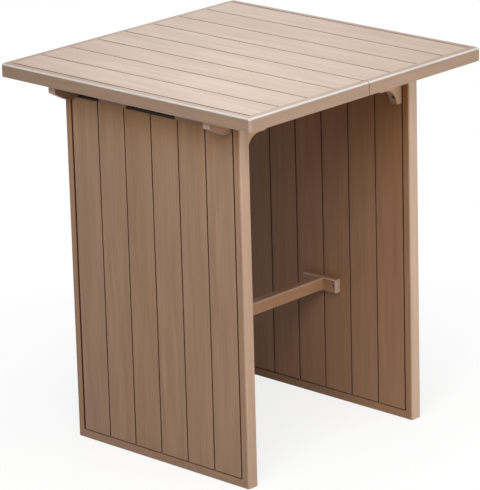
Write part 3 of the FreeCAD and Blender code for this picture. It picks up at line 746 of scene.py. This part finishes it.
def make_glides(node, material):
    """Foot glides with rounded rims, in the place of a CAD node of plain ones."""
    hardware = bpy.context.scene.bar_table_hardware
    boxes = solid_boxes(node)
    first_low, first_high = boxes[0]
    size = first_high - first_low
    shape = turned_stud(
        size.x / 2, hardware.glide_height, hardware.glide_rim_radius,
        hardware.glide_stem_diameter / 2, size.z - hardware.glide_height,
    )
    turn = Matrix.Rotation(math.pi, 4, "X")
    places = []
    for low, high in boxes:
        middle = (low + high) / 2
        places.append(Matrix.Translation((middle.x, middle.y, low.z + hardware.glide_height)) @ turn)
    piece = repeat_shape(f"{node}_turned", shape, places)
    stand_for(piece, node, material)


# Stage

def seen_rays(tree):
    """1 for camera, mirror and see-through rays, and 0 for rays that light the object."""
    path = add_node(tree, "ShaderNodeLightPath").outputs
    seen = calculate(tree, "MAXIMUM", path["Is Camera Ray"], path["Is Glossy Ray"])
    return calculate(tree, "MAXIMUM", seen, path["Is Transmission Ray"])


def set_world(studio):
    """White surroundings that light the object only softly."""
    world = bpy.data.worlds.new("studio_world")
    bpy.context.scene.world = world
    tree = empty_tree(world)
    white = add_node(tree, "ShaderNodeBackground", None, {"Color": WHITE, "Strength": 1.0})
    soft = add_node(tree, "ShaderNodeBackground", None, {"Color": WHITE, "Strength": studio.ambient})
    mixed = blend_shaders(tree, seen_rays(tree), soft, white)
    add_node(tree, "ShaderNodeOutputWorld", None, {"Surface": mixed.outputs[0]})


def floor_material(studio):
    """A pale floor that shows white, with the table's own soft shadow near it, and is clear from below."""
    material = bpy.data.materials.new("pale_floor")
    tree = empty_tree(material)
    pale = add_node(tree, "ShaderNodeBsdfDiffuse", None, {"Color": opaque(studio.floor_colour)})
    bright = add_node(tree, "ShaderNodeBsdfDiffuse", None, {"Color": WHITE})
    white = add_node(tree, "ShaderNodeEmission", None, {"Color": WHITE, "Strength": 1.0})
    clear = add_node(tree, "ShaderNodeBsdfTransparent")
    length = add_node(tree, "ShaderNodeVectorMath", {"operation": "LENGTH"}, {0: object_place(tree)})
    reach = studio.shadow_reach
    near = remap(tree, length.outputs["Value"], reach * FULL_SHADOW_SHARE, reach, 1.0, 0.0)
    shown = blend_shaders(tree, calculate(tree, "MULTIPLY", near, studio.shadow_share), white, bright)
    surface = blend_shaders(tree, seen_rays(tree), pale, shown)
    below = add_node(tree, "ShaderNodeNewGeometry").outputs["Backfacing"]
    whole = blend_shaders(tree, below, surface, clear)
    add_node(tree, "ShaderNodeOutputMaterial", None, {"Surface": whole.outputs[0]})
    return material


def add_floor(studio):
    """A square floor under the table."""
    shape = bmesh.new()
    bmesh.ops.create_grid(shape, x_segments=1, y_segments=1, size=studio.floor_size / 2)
    mesh = bpy.data.meshes.new("floor")
    shape.to_mesh(mesh)
    shape.free()
    mesh.materials.append(floor_material(studio))
    floor = add_object("floor", mesh)


def add_softbox(name, place, aim, size, power):
    """A square softbox that faces its aim and isn't seen by the camera."""
    lamp = bpy.data.lights.new(name, "AREA")
    lamp.shape = "SQUARE"
    lamp.size = size
    lamp.energy = power
    softbox = add_object(name, lamp)
    softbox.location = place
    softbox.rotation_euler = (aim - Vector(place)).to_track_quat("-Z", "Y").to_euler()
    softbox.visible_camera = False


def add_lights(studio):
    """Softboxes that face the middle of the table or the middle of its top."""
    middle = (CAD_BOX[0] + CAD_BOX[1]) / 2
    top = Vector((middle.x, middle.y, CAD_BOX[1].z))
    for name, (place, size) in SOFTBOXES.items():
        aim = top if name in AIMED_AT_TOP else middle
        add_softbox(f"{name}_softbox", place, aim, size, getattr(studio, f"{name}_power"))


def add_camera(studio):
    """The camera at the photograph's viewing angle."""
    camera = bpy.data.cameras.new("photo_camera")
    camera.lens = studio.lens
    camera.sensor_width = studio.sensor
    camera.clip_end = VIEW_DISTANCE
    turn = (
        Matrix.Rotation(studio.camera_azimuth, 4, "Z")
        @ Matrix.Rotation(math.pi / 2 - studio.camera_elevation, 4, "X")
        @ Matrix.Rotation(studio.camera_roll, 4, "Z")
    )
    view = add_object("photo_camera", camera)
    view.matrix_world = Matrix.Translation(studio.camera_place) @ turn
    bpy.context.scene.camera = view


# Operators, one for each group of like pieces

class BARTABLE_OT_coat_top_slats(bpy.types.Operator):
    """Coats the slats of the top, with grain along them and a tone for each"""

    bl_idname = "bar_table.coat_top_slats"
    bl_label = "Coat Top Slats"

    def execute(self, context):
        coat = context.scene.bar_table_coat
        names = nodes_named("top_slat_")
        first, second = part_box(names[0]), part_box(names[1])
        boards = boards_across("Y", first, second)
        # Painted sheen on the top's slats
        cast = (coat.top_sheen_colour, coat.top_sheen_share)
        # Painted shade on the walls of the gaps between the top's slats and along the frame
        walls = [("Y", "both")]
        give_finish(names, coat_material("top_slat_coat", "X", boards, cast=cast, grooves=walls))
        return {"FINISHED"}


class BARTABLE_OT_coat_top_frame(bpy.types.Operator):
    """Coats the frame of the top, with grain that turns at the corners"""

    bl_idname = "bar_table.coat_top_frame"
    bl_label = "Coat Top Frame"

    def execute(self, context):
        coat = context.scene.bar_table_coat
        # Painted sheen and shade on the frame
        cast = (coat.frame_sheen_colour, coat.frame_sheen_share)
        # Painted shade on the walls of the frame's seam
        walls = [("Y", "within", coat.seam_reach)]
        # Rubbed coat and painted highlight on the frame's upper edges
        material = coat_material(
            "top_frame_coat", "X", mitred=True, cast=cast, brow_wear_and_highlight=coat.brow_wear_and_highlight, grooves=walls
        )
        give_finish(nodes_named("top_frame_"), material)
        return {"FINISHED"}


class BARTABLE_OT_coat_leg_panels(bpy.types.Operator):
    """Coats the leg panels, with upright grain on slats and stiles and level grain on the rails"""

    bl_idname = "bar_table.coat_leg_panels"
    bl_label = "Coat Leg Panels"

    def execute(self, context):
        coat = context.scene.bar_table_coat
        first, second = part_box("left_slat_1"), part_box("left_slat_2")
        boards = boards_across("X", first, second)
        # Painted shade on the faces turned to the inside of the table
        inner_shade = ("Y", "inner", coat.inner_shade_colour, coat.inner_shade_share)
        stile_inner_shade = ("Y", "inner", coat.inner_shade_colour, coat.stile_inner_shade_share)
        # Painted warm bounce light close under the top
        eaves = [
            ("Y", "outer", coat.eaves_bounce_depth, coat.eaves_bounce_warmth),
            ("Y", "inner", coat.inner_bounce_depth, coat.inner_bounce_warmth),
        ]
        # Painted shade on the walls of the gaps between the panel slats
        walls = [("X", "both")]
        material = coat_material(
            "panel_slat_coat", "Z", boards, faces=[inner_shade], grooves=walls, eaves=eaves
        )
        give_finish(nodes_named("left_slat_", "right_slat_"), material)
        # Painted shade on the stiles' walls that face the slats
        walls = [("X", "inner")]
        for side, share in (("left", coat.left_stile_light_share), ("right", coat.right_stile_light_share)):
            # Painted light on the stiles' outer end faces, and painted shade on their inner faces
            faces = [stile_inner_shade, ("X", "outer", coat.lit_end_colour, share)]
            material = coat_material(
                f"{side}_stile_coat", "Z", boards, faces=faces, grooves=walls, eaves=eaves
            )
            give_finish(nodes_named(f"{side}_stile_"), material)
        rails = nodes_named("left_bottom_rail", "right_bottom_rail")
        # Painted shade on the rails' inner faces
        give_finish(rails, coat_material("panel_rail_coat", "X", faces=[inner_shade]))
        return {"FINISHED"}


class BARTABLE_OT_coat_supports(bpy.types.Operator):
    """Coats the beams, battens, braces, stretcher and blocks under the top"""

    bl_idname = "bar_table.coat_supports"
    bl_label = "Coat Supports"

    def execute(self, context):
        coat = context.scene.bar_table_coat
        # Painted light on the stretcher, its end blocks and the battens
        warm = (coat.stretcher_light_colour, coat.stretcher_light_share)
        # Painted shade on the beams and their caps
        shaded = (coat.cap_shade_colour, coat.cap_shade_share)
        # Painted light on the braces
        pale = (coat.brace_light_colour, coat.brace_light_share)
        # Painted light and glint on the ends of the caps and of the stretcher's end blocks
        cap_ends = [("Y", "outer", coat.lit_end_colour, coat.block_light_share)]
        # Painted shade: the hollows in the caps' ends take the dark groove colour
        shaded_cap_hollows = [("Y", "within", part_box("beam_end_caps_front")[1].y - coat.cap_rim)]
        lit_tee_ends = [("X", "outer", coat.lit_end_colour, coat.block_light_share)]
        # Rubbed coat and painted highlight on the upper edges of the stretcher and its end blocks
        stretcher = coat_material("stretcher_coat", "Y", cast=warm, brow_wear_and_highlight=coat.stretcher_wear_and_highlight)
        tee = coat_material("tee_coat", "X", cast=warm, brow_wear_and_highlight=coat.tee_wear_and_highlight, faces=lit_tee_ends)
        caps = coat_material("beam_cap_coat", "Y", cast=shaded, faces=cap_ends, grooves=shaded_cap_hollows)
        give_finish(nodes_named("batten_"), coat_material("batten_coat", "Y", cast=warm))
        give_finish(["stretcher"], stretcher)
        give_finish(nodes_named("stretcher_tee_"), tee)
        give_finish(nodes_named("beam_end_caps_"), caps)
        give_finish(nodes_named("support_beam_"), coat_material("beam_coat", "Y", cast=shaded))
        give_finish(nodes_named("brace_left_", "brace_right_"), coat_material("brace_coat", "Z", cast=pale))
        give_finish(nodes_named("riser_"), coat_material("riser_coat", "Z"))
        return {"FINISHED"}


class BARTABLE_OT_finish_bars(bpy.types.Operator):
    """Finishes the bars along the panel tops, black as painted shade, and the bare sleeves in the frame"""

    bl_idname = "bar_table.finish_bars"
    bl_label = "Finish Bars and Sleeves"

    def execute(self, context):
        hardware = context.scene.bar_table_hardware
        # Painted shade: black bars in the slot under the top
        dark = mottled_material(
            "dark_bar_coat", hardware.bar_shade_colour, metallic=0.0, roughness=0.6, grain=0.004
        )
        give_finish(nodes_named("left_top_bar", "right_top_bar"), dark)
        bare = mottled_material(
            "bare_sleeve", hardware.sleeve_colour, metallic=1.0, roughness=0.35, grain=0.006
        )
        give_finish(["frame_joint_sleeves"], bare)
        return {"FINISHED"}


class BARTABLE_OT_make_bolts(bpy.types.Operator):
    """Makes the button-head bolts of the stretcher, the braces and the top"""

    bl_idname = "bar_table.make_bolts"
    bl_label = "Make Bolts"

    def execute(self, context):
        hardware = context.scene.bar_table_hardware
        steel = mottled_material(
            "bolt_steel", hardware.steel_colour, metallic=1.0, roughness=0.32, grain=0.002
        )
        bronze = mottled_material(
            "screw_bronze", hardware.bronze_colour, metallic=1.0, roughness=0.45, grain=0.002
        )
        make_bolts("stretcher_bolts", steel)
        make_bolts("brace_screws", bronze)
        make_bolts("top_bolts", steel)
        return {"FINISHED"}


class BARTABLE_OT_make_glides(bpy.types.Operator):
    """Makes the foot glides under the leg panels"""

    bl_idname = "bar_table.make_glides"
    bl_label = "Make Foot Glides"

    def execute(self, context):
        hardware = context.scene.bar_table_hardware
        nylon = mottled_material(
            "glide_nylon", hardware.nylon_colour, metallic=0.0, roughness=0.5, grain=0.003
        )
        for node in ("left_foot_glides", "right_foot_glides"):
            make_glides(node, nylon)
        return {"FINISHED"}


class BARTABLE_OT_set_stage(bpy.types.Operator):
    """Sets the floor, the white surroundings, the softboxes and the camera"""

    bl_idname = "bar_table.set_stage"
    bl_label = "Set Stage"

    def execute(self, context):
        studio = context.scene.bar_table_studio
        context.scene.view_settings.view_transform = "Standard"
        set_world(studio)
        add_floor(studio)
        add_lights(studio)
        add_camera(studio)
        return {"FINISHED"}


OPERATORS = (
    BARTABLE_OT_coat_top_slats,
    BARTABLE_OT_coat_top_frame,
    BARTABLE_OT_coat_leg_panels,
    BARTABLE_OT_coat_supports,
    BARTABLE_OT_finish_bars,
    BARTABLE_OT_make_bolts,
    BARTABLE_OT_make_glides,
    BARTABLE_OT_set_stage,
)

SETTINGS = {
    "bar_table_coat": BarTableCoat,
    "bar_table_hardware": BarTableHardware,
    "bar_table_studio": BarTableStudio,
}


class BARTABLE_PT_panel(bpy.types.Panel):
    """Lists the settings and the steps in the sidebar"""

    bl_idname = "BARTABLE_PT_panel"
    bl_label = "Bar Table"
    bl_space_type = "VIEW_3D"
    bl_region_type = "UI"
    bl_category = "Bar Table"

    def draw(self, context):
        for name, settings in SETTINGS.items():
            box = self.layout.box()
            for field in settings.__annotations__:
                box.prop(getattr(context.scene, name), field)
        for operator in OPERATORS:
            self.layout.operator(operator.bl_idname)


CLASSES = (*SETTINGS.values(), *OPERATORS, BARTABLE_PT_panel)


def register():
    for item in CLASSES:
        bpy.utils.register_class(item)
    for name, settings in SETTINGS.items():
        setattr(bpy.types.Scene, name, PointerProperty(type=settings))


def unregister():
    for name in SETTINGS:
        delattr(bpy.types.Scene, name)
    for item in reversed(CLASSES):
        bpy.utils.unregister_class(item)


def main():
    register()
    bpy.ops.bar_table.coat_top_slats()
    bpy.ops.bar_table.coat_top_frame()
    bpy.ops.bar_table.coat_leg_panels()
    bpy.ops.bar_table.coat_supports()
    bpy.ops.bar_table.finish_bars()
    bpy.ops.bar_table.make_bolts()
    bpy.ops.bar_table.make_glides()
    bpy.ops.bar_table.set_stage()


if __name__ == "__main__":
    main()
